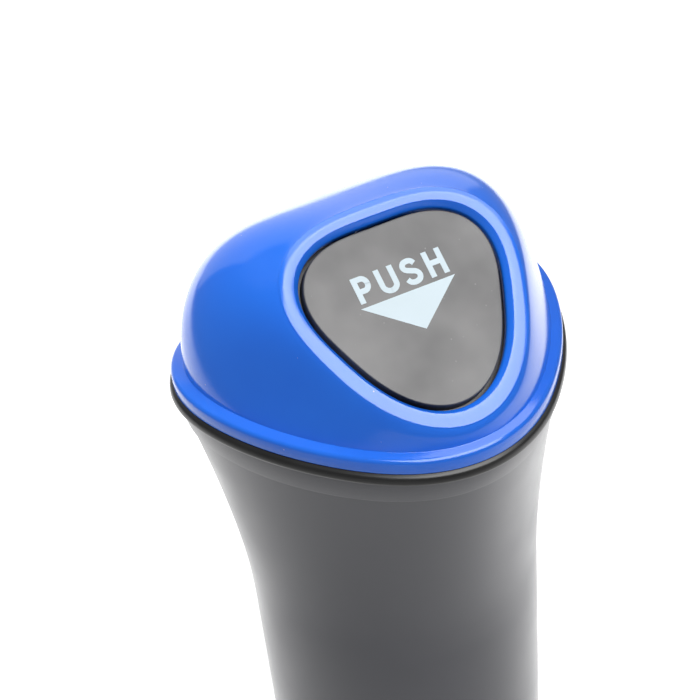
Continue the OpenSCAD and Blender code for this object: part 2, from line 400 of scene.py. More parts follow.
@dataclass(frozen=True)
class FaceForm:
    """The sloping face: where it lies, and the outline of the flap in it.

    Args:
        rim_z: Height of the hood's seat.
        tilt: Slope of the face in degrees.
        up: Height of the face's centre above the seat.
        forward: Distance of the face's centre before the axis.
        flap_r: Mean radius of the flap.
        lobes: Waves round the flap that make its three corners.
        band_w: Width of the rolled band round the flap.
        band_h: Height of the band's crest above the flap's top.
        band_edge: Height of the band's outer edge: its mean and its wave.
        gap: Gap between the flap and the hood.
        slope_foot: Depth at which the band's inner slope ends.
        lip_depth: Depth of the lip's underside.
    """

    rim_z: float
    tilt: float = 36.1
    up: float = 26.2
    forward: float = 23.0
    flap_r: float = 23.1
    lobes: tuple[float, ...] = (0.0, 0.15, 2.45, -0.4, 0.0, 0.15)
    band_w: float = 5.9
    band_h: float = 1.15
    band_edge: tuple[float, ...] = (0.65, 0.2)
    gap: float = 0.9
    slope_foot: float = 0.7
    lip_depth: float = 2.9

    def outline(self, angle: Array) -> Array:
        """Return the flap's distance from the face's centre at each angle."""
        return waves(angle, self.flap_r, *self.lobes)

    def base(self, angle: Array) -> Array:
        """Return the height of the rolled band's outer edge at each angle."""
        return waves(angle, *self.band_edge)

    def place(self, points: Array) -> Array:
        """Move points from the face's own axes to the frame.

        Args:
            points: Places across the slope, up the slope and above the flap's top.

        Returns:
            The same points in the frame.
        """
        turn = math.radians(self.tilt)
        x, y, h = points[:, 0], points[:, 1], points[:, 2]
        along = y * math.cos(turn) - h * math.sin(turn) - self.forward
        above = y * math.sin(turn) + h * math.cos(turn) + self.up + self.rim_z
        return np.stack([x, along, above], axis=1)

    def ring(self, radius: Array, height: float | Array) -> Array:
        """Return a ring over the face, at a height above the flap's top."""
        return self.place(level(angles(), radius, height))

    def band_ring(self, width: float, height: float) -> Array:
        """Return a ring on the rolled band.

        Args:
            width: Share of the band's width, from the flap's outline.
            height: Share of the way from the outer edge's height to the crest's.

        Returns:
            The ring's points.
        """
        angle = angles()
        base = self.base(angle)
        return self.ring(self.outline(angle) + width * self.band_w, base + height * (self.band_h - base))


@dataclass(frozen=True)
class DomeForm:
    """The hood's dome: a curve at each angle from the crease up to the face.

    Args:
        tub: The form whose rim the dome follows.
        face: The face that the dome runs up to.
        flange_w: Width of the flange round the dome: its mean and its wave.
        crease_z: Height of the crease above the seat: its mean and its wave.
        rise: Length of the curve's lower handle, as a share of its span.
        reach: Length of its upper handle, as a share of its span.
        lean: How far the lower handle leans outwards.
        tip: How far the upper handle tips up from the face.
        probe: Step in angle and share at which normals are measured.
    """

    tub: TubForm
    face: FaceForm
    flange_w: tuple[float, ...] = (2.95, -0.52)
    crease_z: tuple[float, ...] = (4.68, -0.3)
    rise: tuple[float, ...] = (0.431, -0.205, 0.118, 0.221, 0.027)
    reach: tuple[float, ...] = (0.137, 0.09, 0.049, 0.029, 0.015)
    lean: tuple[float, ...] = (-0.01, -0.15)
    tip: tuple[float, ...] = (-0.907, 0.277, -0.05, 0.264)
    probe: float = 0.02

    def points(self, angle: Array, share: float) -> Array:
        """Return points of the dome.

        Args:
            angle: Angles in radians.
            share: Share of the way from the crease to the face.

        Returns:
            One point for each angle.
        """
        out = level(angle, np.ones_like(angle), 0.0)
        foot_r = self.tub.rim(angle) - waves(angle, *self.flange_w)
        foot = level(angle, foot_r, self.tub.rim_z + waves(angle, *self.crease_z))
        edge = self.face.outline(angle) + self.face.band_w
        head = self.face.place(level(angle, edge, self.face.base(angle)))
        span = lengths(head - foot)
        rise, reach, lean = (waves(angle, *form)[:, None] for form in (self.rise, self.reach, self.lean))
        low = foot + span * rise * (lean * out + UP)
        outward_tip = out.copy()
        outward_tip[:, 2] = waves(angle, *self.tip)
        origin = self.face.place(np.zeros((1, 3)))
        high = head + span * reach * (self.face.place(outward_tip) - origin)
        t = share
        return (1 - t) ** 3 * foot + 3 * t * (1 - t) ** 2 * low + 3 * t * t * (1 - t) * high + t**3 * head

    def ring(self, share: float, depth: float = 0.0) -> Array:
        """Return a ring of the dome.

        Args:
            share: Share of the way from the crease to the face.
            depth: Distance that the ring is moved in along its normals.

        Returns:
            The ring's points.
        """
        angle = angles()
        points = self.points(angle, share)
        if depth == 0.0:
            return points
        side = self.points(angle + self.probe, share) - self.points(angle - self.probe, share)
        climb = self.points(angle, share + self.probe) - self.points(angle, share - self.probe)
        normal = np.cross(side, climb)
        return points - depth * normal / lengths(normal)


# Shader building blocks


class Graph:
    """A node tree with short calls to fill it."""

    def __init__(self, tree: Tree) -> None:
        """Keep the tree."""
        self.tree = tree

    def node(self, kind: str, **settings: object) -> Node:
        """Add a node and set its properties.

        Args:
            kind: Type of the node.
            settings: Its properties by name.

        Returns:
            The new node.
        """
        made = self.tree.nodes.new(kind)
        for key, value in settings.items():
            setattr(made, key, value)
        return made

    def link(self, source: Socket, target: Socket) -> None:
        """Link two sockets."""
        self.tree.links.new(source, target)

    def fill(self, node: Node, **values: object) -> None:
        """Set plain sockets of a node, with underscores for spaces."""
        for key, value in values.items():
            node.inputs[key.replace("_", " ")].default_value = value

    def mix(self, share: Socket, low: float | Colour | Socket, high: float | Colour) -> Socket:
        """Mix two numbers or two linear colours.

        Args:
            share: Share of the second one, or a test of 0 or 1 that picks one.
            low: The first one, or its socket.
            high: The second one.

        Returns:
            The socket that gives the mix.
        """
        coloured = isinstance(high, tuple)
        made = self.node("ShaderNodeMix", data_type="RGBA" if coloured else "FLOAT")
        first, second, result = COLOUR_MIX if coloured else NUMBER_MIX
        self.link(share, made.inputs["Factor"])
        for index, value in ((first, low), (second, high)):
            if isinstance(value, bpy.types.NodeSocket):
                self.link(value, made.inputs[index])
            else:
                made.inputs[index].default_value = (*value, 1.0) if coloured else value
        return made.outputs[result]


class Shader(Graph):
    """A node material under construction, with a Principled surface."""

    def __init__(self, name: str) -> None:
        """Start the material with its surface and the object's coordinates.

        Args:
            name: Name of the material.
        """
        self.material = bpy.data.materials.new(name)
        self.material.use_nodes = True
        super().__init__(self.material.node_tree)
        self.tree.nodes.clear()
        self.surface = self.node("ShaderNodeBsdfPrincipled")
        self.link(self.surface.outputs["BSDF"], self.node("ShaderNodeOutputMaterial").inputs["Surface"])
        self.place = self.node("ShaderNodeTexCoord").outputs["Object"]

    def feed(self, source: Socket, socket: str) -> None:
        """Link a source to a socket of the surface."""
        self.link(source, self.surface.inputs[socket])

    def group(self, tree: Tree, **values: object) -> Node:
        """Place a node group on the object's coordinates.

        Args:
            tree: The group.
            values: Its plain sockets by name.

        Returns:
            The group's node.
        """
        made = self.node("ShaderNodeGroup", node_tree=tree)
        self.link(self.place, made.inputs["Place"])
        self.fill(made, **values)
        return made

    def ranged(self, spread: Tree, mask: Socket, low: float, high: float) -> Socket:
        """Map a mask to a range of values.

        Args:
            spread: The group that does it.
            mask: The mask.
            low: Value where the mask is low.
            high: Value where the mask is high.

        Returns:
            The socket that gives the value.
        """
        made = self.group(spread, Low=low, High=high)
        self.link(mask, made.inputs["Mask"])
        return made.outputs["Value"]

    def bump(self, height: Socket, distance: float) -> None:
        """Feed a height into the surface's normal.

        Args:
            height: The height, from 0 to 1.
            distance: Depth of the bumps in metres.
        """
        made = self.node("ShaderNodeBump")
        self.fill(made, Strength=1.0, Distance=distance)
        self.link(height, made.inputs["Height"])
        self.feed(made.outputs["Normal"], "Normal")


class GroupDraft(Graph):
    """A shader node group under construction."""

    def __init__(self, name: str, inputs: dict[str, float], outputs: tuple[str, ...]) -> None:
        """Make the group with its sockets.

        Args:
            name: Name of the group.
            inputs: Names and default values of its number inputs.
            outputs: Names of its number outputs.
        """
        super().__init__(bpy.data.node_groups.new(name, "ShaderNodeTree"))
        sockets = self.tree.interface
        sockets.new_socket("Place", in_out="INPUT", socket_type="NodeSocketVector")
        for key, value in inputs.items():
            made = sockets.new_socket(key, in_out="INPUT", socket_type="NodeSocketFloat")
            made.default_value = value
        for key in outputs:
            sockets.new_socket(key, in_out="OUTPUT", socket_type="NodeSocketFloat")
        self.given = self.node("NodeGroupInput").outputs
        self.result = self.node("NodeGroupOutput").inputs


def moulding_group() -> Tree:
    """Build the slow waver and fine grain of moulded plastic.

    Returns:
        A group that puts out a slow Waver and a fine Grain.
    """
    draft = GroupDraft("moulded_surface", {"Waver Scale": 60.0, "Grain Scale": 6000.0}, ("Waver", "Grain"))
    for name, detail in (("Waver", 2.0), ("Grain", 3.0)):
        noise = draft.node("ShaderNodeTexNoise")
        draft.fill(noise, Detail=detail)
        draft.link(draft.given["Place"], noise.inputs["Vector"])
        draft.link(draft.given[f"{name} Scale"], noise.inputs["Scale"])
        draft.link(noise.outputs["Fac"], draft.result[name])
    return draft.tree


def speck_group() -> Tree:
    """Build scattered dust specks.

    Returns:
        A group that puts out a Mask, 1 on a speck and 0 between.
    """
    draft = GroupDraft("dust_specks", {"Scale": 700.0, "Size": 0.12, "Rarity": 0.6}, ("Mask",))
    cells = draft.node("ShaderNodeTexVoronoi")
    draft.link(draft.given["Place"], cells.inputs["Vector"])
    draft.link(draft.given["Scale"], cells.inputs["Scale"])
    parts = draft.node("ShaderNodeSeparateColor")
    draft.link(cells.outputs["Color"], parts.inputs["Color"])
    both = draft.node("ShaderNodeMath", operation="MULTIPLY")
    for index, (kind, source, bound) in enumerate((
            ("LESS_THAN", cells.outputs["Distance"], "Size"),
            ("GREATER_THAN", parts.outputs["Red"], "Rarity"))):
        test = draft.node("ShaderNodeMath", operation=kind)
        draft.link(source, test.inputs[0])
        draft.link(draft.given[bound], test.inputs[1])
        draft.link(test.outputs[0], both.inputs[index])
    draft.link(both.outputs[0], draft.result["Mask"])
    return draft.tree


def range_group() -> Tree:
    """Build a map from a mask to a range of values.

    Returns:
        A group that puts out a Value between Low and High.
    """
    draft = GroupDraft("value_range", {"Mask": 0.5, "Low": 0.2, "High": 0.4}, ("Value",))
    spread = draft.node("ShaderNodeMapRange")
    draft.fill(spread, From_Min=0.3, From_Max=0.7)
    for name, socket in (("Mask", "Value"), ("Low", "To Min"), ("High", "To Max")):
        draft.link(draft.given[name], spread.inputs[socket])
    draft.link(spread.outputs["Result"], draft.result["Value"])
    return draft.tree


@dataclass(frozen=True)
class Effects:
    """The shader groups that the finishes share."""

    moulding: Tree = field(default_factory=moulding_group)
    specks: Tree = field(default_factory=speck_group)
    spread: Tree = field(default_factory=range_group)


@dataclass(frozen=True)
class Finish:
    """The finish of one moulded or drawn surface.

    Args:
        name: Name of the material.
        colour: Linear base colour.
        mottle: Linear colour that the slow waver drifts towards.
        smooth: Roughness where the surface is smoothest.
        dull: Roughness where it is dullest.
        stuff: What the surface is made of.
        grain: Height of the grain, in millimetres.
        specks: Linear colour of dust specks, or None for a clean surface.
        speck_rarity: Share of places without a speck.
        gloss: How strongly the surface mirrors, 0.5 for plain plastic.
    """

    name: str
    colour: Colour
    mottle: Colour
    smooth: float
    dull: float
    stuff: Stuff = Stuff.PLASTIC
    grain: float = 0.0
    specks: Colour | None = None
    speck_rarity: float = 0.9
    gloss: float = 0.5

    def build(self, effects: Effects) -> bpy.types.Material:
        """Build the material.

        Args:
            effects: The shared shader groups.

        Returns:
            The finished material.
        """
        shader = Shader(self.name)
        surface = shader.group(effects.moulding)
        waver = surface.outputs["Waver"]
        colour = shader.mix(shader.ranged(effects.spread, waver, 0.0, 1.0), self.colour, self.mottle)
        if self.specks is not None:
            dust = shader.group(effects.specks, Rarity=self.speck_rarity)
            colour = shader.mix(dust.outputs["Mask"], colour, self.specks)
        shader.feed(colour, "Base Color")
        shader.feed(shader.ranged(effects.spread, waver, self.smooth, self.dull), "Roughness")
        shader.fill(shader.surface, IOR=PLASTIC_IOR, Specular_IOR_Level=self.gloss, Metallic=self.stuff.value)
        if self.grain > 0.0:
            shader.bump(surface.outputs["Grain"], self.grain * MM)
        return shader.material


HOOD_BLUE = Finish(
    "hood_gloss_blue", (0.013, 0.162, 0.83), (0.014, 0.172, 0.85), 0.13, 0.17,
    specks=(0.25, 0.35, 0.8), speck_rarity=0.985)
TUB_GREY = Finish("tub_dark_grey", (0.043, 0.044, 0.055), (0.047, 0.048, 0.06), 0.28, 0.34, grain=0.01)
RING_BLACK = Finish("ring_black", (0.01, 0.01, 0.01), (0.013, 0.013, 0.013), 0.3, 0.4, gloss=0.4)
FLAP_GREY = Finish(
    "flap_satin_grey", (0.012, 0.011, 0.012), (0.1, 0.098, 0.098), 0.32, 0.42,
    grain=0.01, specks=(0.1, 0.1, 0.1), speck_rarity=0.93, gloss=0.42)
PRINT_PALE = Finish("print_pale_blue", (0.42, 0.52, 0.58), (0.45, 0.55, 0.6), 0.4, 0.5)
PIN_STEEL = Finish("pin_steel", (0.62, 0.62, 0.64), (0.55, 0.55, 0.57), 0.18, 0.3, Stuff.METAL)
SPRING_STEEL = Finish("spring_steel", (0.5, 0.5, 0.52), (0.42, 0.42, 0.44), 0.2, 0.32, Stuff.METAL)


# Pieces


@dataclass
class Part:
    """A sub-assembly moulded or bent from one material.

    Args:
        material: The material of its pieces.
    """

    material: bpy.types.Material

    def settle(self, piece: Piece, slot: str, body: Body, *nodes: str) -> None:
        """Dress a piece and make it ride on a body.

        Args:
            piece: The piece.
            slot: The record's name for its material; not used.
            body: The body that it moves with.
            nodes: The solids that it stands for.
        """
        piece.data.materials.clear()
        piece.data.materials.append(self.material)
        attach(piece, body.value)
        if nodes:
            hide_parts(*nodes)
        LOG.info("%s rides on %s: %d faces", piece.name, body.value, len(piece.data.polygons))


@dataclass
class Tub(Part):
    """The dark flared tub with its collar, mouth and round foot."""

    form: TubForm
    wall: float = 1.8
    floor: float = 2.4
    foot_round: float = 2.0
    foot_steps: int = 7
    floor_steps: int = 6
    foot_in: float = 5.0
    floor_in: float = 4.0
    floor_lean: float = 0.3
    side_from: float = 3.2
    side_to: float = 0.6
    inside_from: float = 1.0
    bead_h: float = 3.2
    collar_h: float = 6.6
    collar_step: float = 0.45
    step_rise: float = 0.25
    step_rounds: Point = (0.15, 0.12)
    mouth_round: float = 0.3
    side_rings: int = 60

    def build(self) -> None:
        """Build, dress and seat the tub."""
        form, bend = self.form, self.foot_round
        mouth = form.rim_z - self.bead_h
        step = mouth - self.collar_h
        low_round, high_round = self.step_rounds
        outside = np.linspace(self.side_from, step - self.side_to, self.side_rings)
        inside = np.linspace(mouth - self.inside_from, self.floor + bend, self.side_rings)
        rings = [
            Ring(form.tub_ring(self.foot_in, 0.0)),
            Ring(form.tub_ring(0.0, 0.0), bend, self.foot_steps),
            *(Ring(form.tub_ring(0.0, z)) for z in outside),
            Ring(form.tub_ring(0.0, step), low_round),
            Ring(form.tub_ring(-self.collar_step, step + self.step_rise), high_round),
            Ring(form.tub_ring(-self.collar_step, mouth), self.mouth_round),
            Ring(form.tub_ring(self.wall, mouth), self.mouth_round),
            *(Ring(form.tub_ring(self.wall, z)) for z in inside),
            Ring(form.tub_ring(self.wall + self.floor_lean, self.floor), bend, self.floor_steps),
            Ring(form.tub_ring(self.wall + self.floor_in, self.floor)),
        ]
        self.settle(skin("tub", rounded(rings, False), False), "tub_plastic", Body.BIN, "bin_body")


@dataclass
class LinerRing(Part):
    """The black ring: a bead on the mouth and a skirt that grips a liner."""

    form: TubForm
    bead_h: float = 3.2
    bead_out: float = 0.8
    outer: float = 2.1
    inner: float = 3.5
    depth: float = 14.0
    end_round: float = 0.3
    skirt_rings: int = 12
    bead_steps: int = 4
    bead_profile: tuple[Point, ...] = (
        (0.12, 1.0), (0.8, 0.86), (1.0, 0.6), (0.7, 0.25), (-0.25, 0.06), (-0.6, 0.0))

    def skirt(self, inset: float, drops: Array) -> list[Ring]:
        """Return one side of the skirt, rounded at its ends.

        Args:
            inset: Distance of this side from the tub's outside.
            drops: Depths of the rings below the seat.

        Returns:
            The side's rings.
        """
        ends = (0.0, self.depth)
        form = self.form
        return [Ring(form.tub_ring(inset, form.rim_z - drop), self.end_round if drop in ends else 0.0)
                for drop in drops]

    def build(self) -> None:
        """Build, dress and seat the ring."""
        form = self.form
        bead = [form.rim_ring(-self.bead_out * out, -self.bead_h * drop) for out, drop in self.bead_profile]
        drops = np.linspace(0.0, self.depth, self.skirt_rings)
        rings = [Ring(ring) for ring in flowing(bead, self.bead_steps)]
        # The outer side ends three rings early, where the bead's underside takes over
        rings += self.skirt(self.inner, drops) + self.skirt(self.outer, drops[:2:-1])
        rings.append(Ring(form.tub_ring(self.outer, form.rim_z - self.bead_h)))
        self.settle(skin("rim_bead_ring", rounded(rings, True), True), "ring_plastic", Body.BIN, "rim_ring")


@dataclass
class Hinge:
    """Where the pin lies and how the plastic round it is laid out."""

    face: FaceForm
    pin_r: float = 1.05
    wall: float = 1.15
    back: float = 2.3
    stop_gap: float = 0.3
    knuckle_x: float = 9.5
    knuckle_l: float = 4.2
    side_gap: float = 0.4
    lug_t: float = 3.2
    arc_steps: int = 20

    @property
    def top_edge(self) -> float:
        """Distance of the flap's top edge from the face's centre."""
        return float(self.face.outline(np.array([math.pi]))[0])

    @property
    def radius(self) -> float:
        """Outer radius of a knuckle."""
        return self.pin_r + self.wall

    @property
    def stop_top(self) -> float:
        """Height of the flap's stop, just below the hood's lip."""
        return -self.face.lip_depth - self.stop_gap

    @property
    def centre(self) -> Point:
        """Place of the pin in the face's own axes, along the slope and above it."""
        return self.top_edge + self.back, self.stop_top - self.radius

    @property
    def lug_x(self) -> float:
        """Distance of a lug's inner side from the middle."""
        return self.knuckle_x + self.knuckle_l + self.side_gap

    def arc(self, start: float, end: float) -> list[Point]:
        """Return points of the knuckle's round side, between two angles in degrees."""
        (y, h), turns = self.centre, np.radians(np.linspace(start, end, self.arc_steps))
        return [(y + self.radius * math.cos(a), h + self.radius * math.sin(a)) for a in turns]


@dataclass(frozen=True)
class Slab:
    """A flat-sided slab that stands across the hinge line.

    Args:
        face: The face whose axes the outline is given in.
        middle: Place of the slab's middle along X.
        width: Width along X.
        bevel: Width of the rounding of its edges.
        sharp: Angle in degrees above which an edge stays sharp.
        bent: Angle in degrees above which an edge is rounded.
    """

    face: FaceForm
    middle: float
    width: float
    bevel: float = 0.15
    sharp: float = 35.0
    bent: float = 30.0

    def build(self, outline: list[Point]) -> Piece:
        """Build the slab.

        Args:
            outline: Points along the slope and above it, counterclockwise seen from +X.

        Returns:
            The slab.
        """
        half = self.width / 2
        sides = [self.face.place(np.array([(x, y, h) for y, h in outline])) * MM
                 for x in (self.middle - half, self.middle + half)]
        count = len(outline)
        faces: Faces = [tuple(reversed(range(count))), tuple(range(count, 2 * count))]
        faces += [(j, (j + 1) % count, count + (j + 1) % count, count + j) for j in range(count)]
        piece = mesh_object("slab", np.concatenate(sides), faces, self.sharp)
        limit = math.radians(self.bent)
        with opened(piece) as whole:
            edges = [e for e in whole.edges if len(e.link_faces) == 2 and e.calc_face_angle(0.0) > limit]
            bmesh.ops.bevel(
                whole, geom=edges, offset=self.bevel * MM, segments=2, profile=0.5, affect="EDGES")
            bmesh.ops.recalc_face_normals(whole, faces=whole.faces)
        piece.data.set_sharp_from_angle(angle=math.radians(self.sharp))
        return piece


@dataclass
class Hood(Part):
    """The glossy hood: flange, dome, rolled band, lip, inner wall, plug and lugs."""

    form: TubForm
    face: FaceForm
    dome: DomeForm
    hinge: Hinge
    wall: float = 1.8
    flange_h: float = 3.5
    flange_round: Rounding = (1.0, 8)
    crease_round: Rounding = (0.12, 4)
    plug_out: float = 3.8
    plug_in: float = 5.4
    plug_depth: float = 8.0
    plug_round: Rounding = (0.7, 4)
    inside_round: Rounding = (0.8, 4)
    lip_w: float = 0.75
    dome_span: Point = (0.03, 0.985)
    dome_rings: int = 44
    inside_span: Point = (0.84, 0.15)
    inside_rings: int = 30
    lug_sink: float = 0.4
    lug_set_back: float = 0.1
    lug_arc: Point = (-180.0, 0.0)
    band_steps: int = 5
    band_profile: tuple[Point, ...] = (
        (1.0, 0.0), (0.95, 0.58), (0.88, 0.8), (0.8, 0.94),
        (0.69, 1.0), (0.59, 0.98), (0.49, 0.88), (0.38, 0.7))

    def shell(self) -> Piece:
        """Build the moulded shell as one closed skin.

        Returns:
            The shell.
        """
        form, face, dome = self.form, self.face, self.dome
        outline = face.outline(angles())
        band = flowing([face.band_ring(*place) for place in self.band_profile], self.band_steps)
        outside = np.linspace(*self.dome_span, self.dome_rings)
        inside = np.linspace(*self.inside_span, self.inside_rings)
        seat, foot = form.rim_z, form.rim_z - self.plug_depth
        rings = [
            Ring(form.rim_ring(0.0, 0.0), *CRISP),
            Ring(form.rim_ring(0.0, self.flange_h), *self.flange_round),
            Ring(dome.ring(0.0), *self.crease_round),
            *(Ring(dome.ring(share)) for share in outside),
            Ring(band[0], *SOFT),
            *(Ring(ring) for ring in band[1:-1]),
            Ring(band[-1], *EVEN),
            Ring(face.ring(outline + face.gap, -face.slope_foot), *SOFT),
            Ring(face.ring(outline + face.gap, -face.lip_depth), *CRISP),
            Ring(face.ring(outline + self.lip_w * face.band_w, -face.lip_depth), *BLUNT),
            *(Ring(dome.ring(share, self.wall)) for share in inside),
            Ring(form.tub_ring(self.plug_in, seat), *self.inside_round),
            Ring(form.tub_ring(self.plug_in, foot), *SOFT),
            Ring(form.tub_ring(self.plug_out, foot), *self.plug_round),
            Ring(form.tub_ring(self.plug_out, seat), *CRISP),
        ]
        return skin("hood_shell", rounded(rings, True), True)

    def lug(self, side: int) -> Piece:
        """Build one of the two lugs that hold the pin.

        Args:
            side: -1 for the left lug and 1 for the right one.

        Returns:
            The lug.
        """
        hinge, radius = self.hinge, self.hinge.radius
        y = hinge.centre[0]
        top = -self.face.lip_depth + self.lug_sink
        outline = hinge.arc(*self.lug_arc) + [(y + radius, top), (y - radius + self.lug_set_back, top)]
        return Slab(self.face, side * (hinge.lug_x + hinge.lug_t / 2), hinge.lug_t).build(outline)

    def build(self) -> None:
        """Build, dress and seat the hood."""
        piece = join("hood_shell", [self.shell(), self.lug(-1), self.lug(1)])
        self.settle(piece, "hood_plastic", Body.HOOD, "hood")


@dataclass
class Flap(Part):
    """The push flap: a shallow tray with a stop, knuckles, gussets and a spring rest."""

    face: FaceForm
    hinge: Hinge
    top: float = 1.8
    wall: float = 1.7
    edge_round: Rounding = (0.5, 8)
    inside_round: Rounding = (0.3, 4)
    top_in: float = 1.0
    top_shares: tuple[float, ...] = (1.0, 0.97, 0.5, 0.05)
    inside_shares: tuple[float, ...] = (0.05, 0.5, 0.95)
    stop_w: float = 0.8
    stop_t: float = 1.2
    stop_round: Rounding = (0.25, 3)
    hinge_gap: float = 0.1
    hinge_side: float = -0.5
    arm_inset: float = 0.5
    arm_t: float = 1.0
    arm_lead: Point = (-0.3, 0.05)
    arm_arc: Point = (-82.0, 150.0)
    gusset_l: float = 11.0
    sink: float = 0.2
    leg: float = 9.0
    rest_x: float = -2.25
    rest_h: float = -6.65
    rest_slope: float = 1.0

    @property
    def stop_low(self) -> float:
        """Height of the stop's underside."""
        return self.hinge.stop_top - self.stop_t

    @property
    def root(self) -> float:
        """Height at which what hangs from the tray sets off, just inside its top."""
        return -self.top + self.sink

    def tray(self) -> Piece:
        """Build the tray as one closed skin, with its stop cut back at the hinge.

        Returns:
            The tray.
        """
        face = self.face
        cosine = np.cos(angles())
        outline = face.outline(angles())
        inside = outline - self.wall
        stop = outline + face.gap + self.stop_w
        behind = cosine < self.hinge_side
        limit = -(self.hinge.top_edge + self.hinge_gap) / np.where(behind, cosine, -1.0)
        stop = np.where(behind, np.minimum(stop, limit), stop)
        stop_top = self.hinge.stop_top
        rings = [
            *(Ring(face.ring(inside * share, -self.top)) for share in self.inside_shares),
            Ring(face.ring(inside, -self.top), *self.inside_round),
            Ring(face.ring(inside, self.stop_low), *self.stop_round),
            Ring(face.ring(stop, self.stop_low), *CRISP),
            Ring(face.ring(stop, stop_top), *CRISP),
            Ring(face.ring(outline, stop_top), *CRISP),
            Ring(face.ring(outline, 0.0), *self.edge_round),
            *(Ring(face.ring((outline - self.top_in) * share, 0.0)) for share in self.top_shares),
        ]
        return skin("flap_tray", rounded(rings, False), False)

    def knuckle(self, side: int) -> list[Piece]:
        """Build one knuckle, its arm and its gusset.

        Args:
            side: -1 for the left knuckle and 1 for the right one.

        Returns:
            The pieces of the knuckle.
        """
        hinge = self.hinge
        y, h = hinge.centre
        edge = hinge.top_edge
        wall_y, arm_y = edge - self.wall, edge - self.wall - self.arm_inset
        lead_y, lead_h = self.arm_lead
        middle = side * (hinge.knuckle_x + hinge.knuckle_l / 2)
        arm = [(arm_y, h - self.arm_t), (y + lead_y, h - hinge.radius + lead_h), *hinge.arc(*self.arm_arc),
               (arm_y, self.stop_low + self.sink)]
        gusset = [(edge - self.gusset_l, self.root), (wall_y, h - self.arm_t), (wall_y, self.root)]
        return [
            Slab(self.face, middle, hinge.knuckle_l).build(arm),
            Slab(self.face, middle, self.wall).build(gusset),
        ]

    def spring_rest(self) -> Piece:
        """Build the rib that the spring's leg bears on.

        Returns:
            The rib.
        """
        edge, low, high = self.hinge.top_edge, self.rest_h, self.root
        tip, wall_y, slope = edge - self.leg, edge - self.wall + self.sink, self.rest_slope
        rib = [(tip + slope, low), (wall_y, low), (wall_y, high), (tip - slope, high)]
        return Slab(self.face, self.rest_x, 2 * self.wall, self.sink).build(rib)

    def build(self) -> None:
        """Build, dress and seat the flap."""
        piece = join("flap", [self.tray(), *self.knuckle(-1), *self.knuckle(1), self.spring_rest()])
        self.settle(piece, "flap_plastic", Body.FLAP, "push_flap")


@dataclass
class Print(Part):
    """The pale operating mark on the flap: a word over a solid arrow."""

    face: FaceForm
    lift: float = 0.012
    thickness: float = 0.03
    stroke: float = 1.34
    height: float = 6.5
    base: float = 4.1
    left: float = -11.6
    bowl_r: float = 1.25
    cup_top: float = 2.2
    bar_h: float = 0.52
    letter_x: Place = (5.95, 12.3, 18.4)
    letter_ends: Place = (3.6, 10.75, 23.1)
    bowl_low: float = 2.85
    bow_steps: int = 6
    bow: tuple[Point, ...] = (
        (3.65, 4.95), (3.1, 5.7), (2.2, 5.92), (1.15, 5.66), (0.64, 4.8), (1.05, 3.95), (2.2, 3.42),
        (3.35, 2.9), (3.86, 1.9), (3.35, 0.93), (2.2, 0.58), (1.1, 0.85), (0.55, 1.65))
    arrow: tuple[Point, ...] = ((-12.2, 3.1), (0.0, -6.55), (12.2, 3.1))

    def letters(self) -> list[list[Point]]:
        """Return the middle line of every stroke of the word.

        Returns:
            Lines of points, measured from the word's lower left corner.
        """
        half, height = self.stroke / 2, self.height
        top, low = height - half, self.bowl_low
        right, u_right, h_right = self.letter_ends[0], self.letter_ends[1] - half, self.letter_ends[2] - half
        u_left, s_left, h_left = self.letter_x[0] + half, self.letter_x[1], self.letter_x[2] + half
        waist, u_mid, bar = (top + low) / 2, (u_left + u_right) / 2, self.bar_h * height
        bowl = quarter((right - self.bowl_r, top), (right, top), (right, waist))
        bowl += quarter((right, waist), (right, low), (right - self.bowl_r, low))
        cup = quarter((u_left, self.cup_top), (u_left, half), (u_mid, half))
        cup += quarter((u_mid, half), (u_right, half), (u_right, self.cup_top))
        snake = flowing([np.array([[s_left + x, y]]) for x, y in self.bow], self.bow_steps)
        return [
            [(half, 0.0), (half, height)],
            [(self.stroke, top), *bowl, (self.stroke, low)],
            [(u_left, height), *cup, (u_right, height)],
            [tuple(point[0]) for point in snake],
            [(h_left, 0.0), (h_left, height)],
            [(h_right, 0.0), (h_right, height)],
            [(h_left + half, bar), (h_right - half, bar)],
        ]

    def raised(self, name: str, points: Array, faces: Faces) -> Piece:
        """Make a closed raised mark from points in the face's own axes."""
        return outward(mesh_object(name, self.face.place(points) * MM, faces, FLAT_SHARP))

    def ribbon(self, line: list[Point]) -> Piece:
        """Make a thin raised ribbon along a line.

        Args:
            line: The ribbon's middle line.

        Returns:
            The ribbon.
        """
        middle = np.array(line) + np.array([self.left, self.base])
        ahead = np.gradient(middle, axis=0)
        side = np.stack([-ahead[:, 1], ahead[:, 0]], axis=1) / lengths(ahead) * self.stroke / 2
        count = len(middle)
        low, high = self.lift, self.lift + self.thickness
        corners = [(middle - side, low), (middle + side, low), (middle + side, high), (middle - side, high)]
        points = np.concatenate([np.column_stack([flat, np.full(count, h)]) for flat, h in corners])
        faces: Faces = []
        for i in range(count - 1):
            for part in range(4):
                a, b = part * count, ((part + 1) % 4) * count
                faces.append((a + i, a + i + 1, b + i + 1, b + i))
        faces.append((0, count, 2 * count, 3 * count))
        faces.append(tuple(part * count + count - 1 for part in (3, 2, 1, 0)))
        return self.raised("ribbon", points, faces)

    def arrow_mark(self) -> Piece:
        """Make the solid arrow below the word.

        Returns:
            The arrow.
        """
        heights = (self.lift, self.lift + self.thickness)
        points = np.array([(x, y, h) for h in heights for x, y in self.arrow])
        return self.raised("arrow", points, [(2, 1, 0), (3, 4, 5), (0, 1, 4, 3), (1, 2, 5, 4), (2, 0, 3, 5)])

    def build(self) -> None:
        """Build, dress and seat the mark."""
        piece = join("flap_mark", [*(self.ribbon(line) for line in self.letters()), self.arrow_mark()])
        self.settle(piece, "flap_plastic", Body.FLAP)


